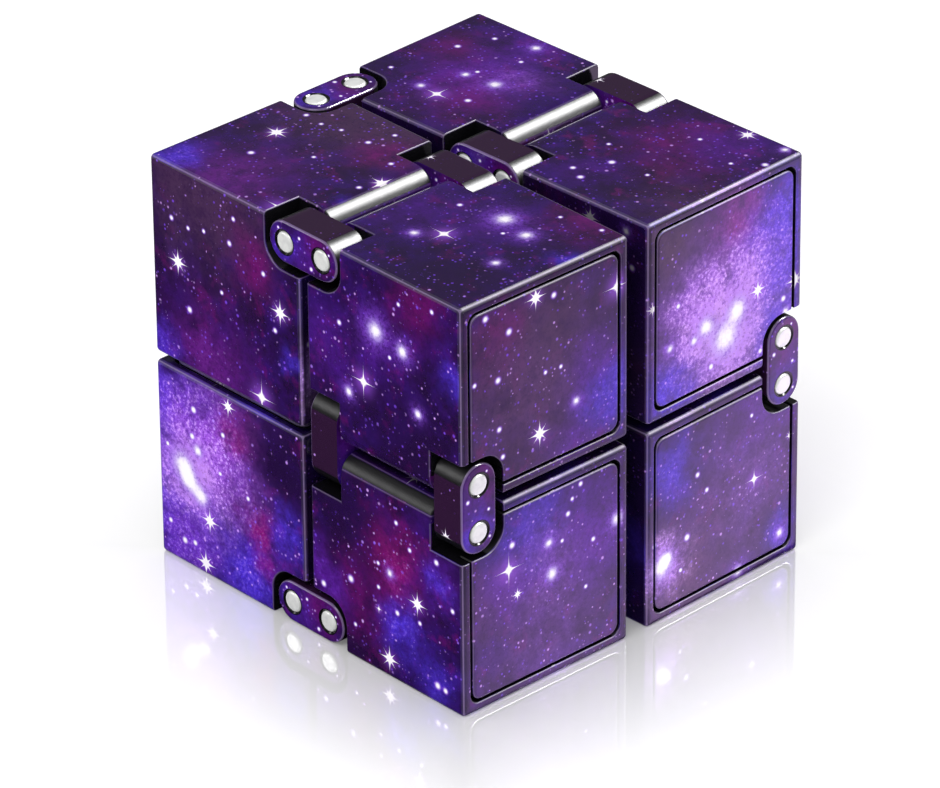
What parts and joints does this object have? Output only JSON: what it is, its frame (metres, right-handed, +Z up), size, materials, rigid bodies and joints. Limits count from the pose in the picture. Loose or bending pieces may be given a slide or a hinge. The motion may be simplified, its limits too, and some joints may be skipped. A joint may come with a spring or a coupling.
{
  "type": "fidget cube",
  "caption": "Folding infinity cube: hollow cubes in a closed ring of two-pin links, which folds over and over between compact shapes.",
  "frame": {"origin": "middle of the footprint, on the surface that the cube stands on", "axes": "+Z up; +X towards the four covers on the right side; +Y from the front half to the rear half, which stands slightly open"},
  "size_m": [0.0408, 0.0414, 0.04],
  "materials": {
    "shell_plastic": "glossy moulded plastic with a printed purple nebula and stars",
    "cover_plastic": "glossy moulded plastic with a printed purple nebula and stars",
    "link_plastic": "glossy moulded plastic, printed on its flat faces, black at its round ends",
    "pin_steel": "bright ground steel",
    "weight_steel": "plain mill finish"
  },
  "bodies": {
    "front_left_upper": {"front_left_upper_shell": "shell_plastic", "front_left_upper_cover": "cover_plastic", "front_left_upper_weight": "weight_steel"},
    "front_right_upper": {"front_right_upper_shell": "shell_plastic", "front_right_upper_cover": "cover_plastic", "front_right_upper_weight": "weight_steel"},
    "front_left_lower": {"front_left_lower_shell": "shell_plastic", "front_left_lower_cover": "cover_plastic", "front_left_lower_weight": "weight_steel"},
    "front_right_lower": {"front_right_lower_shell": "shell_plastic", "front_right_lower_cover": "cover_plastic", "front_right_lower_weight": "weight_steel"},
    "rear_left_upper": {"rear_left_upper_shell": "shell_plastic", "rear_left_upper_cover": "cover_plastic", "rear_left_upper_weight": "weight_steel", "left_upper_hinge_pin_2": "pin_steel"},
    "rear_right_upper": {"rear_right_upper_shell": "shell_plastic", "rear_right_upper_cover": "cover_plastic", "rear_right_upper_weight": "weight_steel"},
    "rear_left_lower": {"rear_left_lower_shell": "shell_plastic", "rear_left_lower_cover": "cover_plastic", "rear_left_lower_weight": "weight_steel"},
    "rear_right_lower": {"rear_right_lower_shell": "shell_plastic", "rear_right_lower_cover": "cover_plastic", "rear_right_lower_weight": "weight_steel"},
    "top_front_hinge": {"top_front_hinge_plate_1": "link_plastic", "top_front_hinge_plate_2": "link_plastic", "top_front_hinge_pin_1": "pin_steel", "top_front_hinge_pin_2": "pin_steel"},
    "top_rear_hinge": {"top_rear_hinge_plate_1": "link_plastic", "top_rear_hinge_plate_2": "link_plastic", "top_rear_hinge_pin_1": "pin_steel", "top_rear_hinge_pin_2": "pin_steel"},
    "bottom_front_hinge": {"bottom_front_hinge_plate_1": "link_plastic", "bottom_front_hinge_plate_2": "link_plastic", "bottom_front_hinge_pin_1": "pin_steel", "bottom_front_hinge_pin_2": "pin_steel"},
    "bottom_rear_hinge": {"bottom_rear_hinge_plate_1": "link_plastic", "bottom_rear_hinge_plate_2": "link_plastic", "bottom_rear_hinge_pin_1": "pin_steel", "bottom_rear_hinge_pin_2": "pin_steel"},
    "left_upper_hinge": {"left_upper_hinge_plate_1": "link_plastic", "left_upper_hinge_plate_2": "link_plastic", "left_upper_hinge_pin_1": "pin_steel", "left_upper_hinge_pin_2_ends": "pin_steel"},
    "left_lower_hinge": {"left_lower_hinge_plate_1": "link_plastic", "left_lower_hinge_plate_2": "link_plastic", "left_lower_hinge_pin_1": "pin_steel", "left_lower_hinge_pin_2": "pin_steel"},
    "front_hinge": {"front_hinge_plate_1": "link_plastic", "front_hinge_plate_2": "link_plastic", "front_hinge_pin_1": "pin_steel", "front_hinge_pin_2": "pin_steel"},
    "rear_hinge": {"rear_hinge_plate_1": "link_plastic", "rear_hinge_plate_2": "link_plastic", "rear_hinge_pin_1": "pin_steel", "rear_hinge_pin_2": "pin_steel"}
  },
  "joints": [
    {"name": "bottom_front_pin_1_turn", "type": "hinge", "parent": "front_left_lower", "child": "bottom_front_hinge", "pos_m": [-0.00196, -0.01094, 0.0021], "axis": [0, 1, 0], "range_deg": [0, 90]},
    {"name": "bottom_front_pin_2_turn", "type": "hinge", "parent": "bottom_front_hinge", "child": "front_right_lower", "pos_m": [0.00274, -0.01094, 0.0021], "axis": [0, 1, 0], "range_deg": [0, 90]},
    {"name": "front_pin_1_turn", "type": "hinge", "parent": "front_right_lower", "child": "front_hinge", "pos_m": [0.01059, -0.01864, 0.01765], "axis": [1, 0, 0], "range_deg": [0, 90]},
    {"name": "front_pin_2_turn", "type": "hinge", "parent": "front_hinge", "child": "front_right_upper", "pos_m": [0.01059, -0.01864, 0.02235], "axis": [1, 0, 0], "range_deg": [0, 90]},
    {"name": "top_front_pin_1_turn", "type": "hinge", "parent": "front_right_upper", "child": "top_front_hinge", "pos_m": [0.00274, -0.01094, 0.0379], "axis": [0, 1, 0], "range_deg": [0, 90]},
    {"name": "top_front_pin_2_turn", "type": "hinge", "parent": "top_front_hinge", "child": "front_left_upper", "pos_m": [-0.00196, -0.01094, 0.0379], "axis": [0, 1, 0], "range_deg": [0, 90]},
    {"name": "left_upper_pin_1_turn", "type": "hinge", "parent": "front_left_upper", "child": "left_upper_hinge", "pos_m": [-0.01751, -0.00309, 0.0302], "axis": [0, 0, 1], "range_deg": [-1.15, 88.85]},
    {"name": "left_lower_pin_1_turn", "type": "hinge", "parent": "front_left_lower", "child": "left_lower_hinge", "pos_m": [-0.01751, -0.00309, 0.0098], "axis": [0, 0, 1], "range_deg": [-1.15, 88.85]},
    {"name": "left_lower_pin_2_turn", "type": "hinge", "parent": "left_lower_hinge", "child": "rear_left_lower", "pos_m": [-0.0176, 0.0016, 0.0098], "axis": [0, 0, 1], "range_deg": [-1.15, 88.85]},
    {"name": "bottom_rear_pin_1_turn", "type": "hinge", "parent": "rear_left_lower", "child": "bottom_rear_hinge", "pos_m": [-0.00238, 0.01007, 0.0021], "axis": [-0.0401, 0.9992, 0], "range_deg": [0, 90]},
    {"name": "bottom_rear_pin_2_turn", "type": "hinge", "parent": "bottom_rear_hinge", "child": "rear_right_lower", "pos_m": [0.00232, 0.01026, 0.0021], "axis": [-0.0401, 0.9992, 0], "range_deg": [0, 90]},
    {"name": "rear_pin_1_turn", "type": "hinge", "parent": "rear_right_lower", "child": "rear_hinge", "pos_m": [0.00985, 0.01827, 0.01765], "axis": [-0.9992, -0.0401, 0], "range_deg": [0, 90]},
    {"name": "rear_pin_2_turn", "type": "hinge", "parent": "rear_hinge", "child": "rear_right_upper", "pos_m": [0.00985, 0.01827, 0.02235], "axis": [-0.9992, -0.0401, 0], "range_deg": [0, 90]},
    {"name": "top_rear_pin_1_turn", "type": "hinge", "parent": "rear_right_upper", "child": "top_rear_hinge", "pos_m": [0.00232, 0.01026, 0.0379], "axis": [-0.0401, 0.9992, 0], "range_deg": [0, 90]},
    {"name": "top_rear_pin_2_turn", "type": "hinge", "parent": "top_rear_hinge", "child": "rear_left_upper", "pos_m": [-0.00238, 0.01007, 0.0379], "axis": [-0.0401, 0.9992, 0], "range_deg": [0, 90]}
  ],
  "couplings": [
    {"joint": "left_upper_pin_1_turn", "follows": "left_lower_pin_1_turn", "ratio": 1},
    {"joint": "bottom_rear_pin_1_turn", "follows": "bottom_front_pin_1_turn", "ratio": 1},
    {"joint": "bottom_rear_pin_2_turn", "follows": "bottom_front_pin_2_turn", "ratio": 1},
    {"joint": "rear_pin_1_turn", "follows": "front_pin_1_turn", "ratio": 1},
    {"joint": "rear_pin_2_turn", "follows": "front_pin_2_turn", "ratio": 1},
    {"joint": "top_rear_pin_1_turn", "follows": "top_front_pin_1_turn", "ratio": 1},
    {"joint": "top_rear_pin_2_turn", "follows": "top_front_pin_2_turn", "ratio": 1}
  ]
}
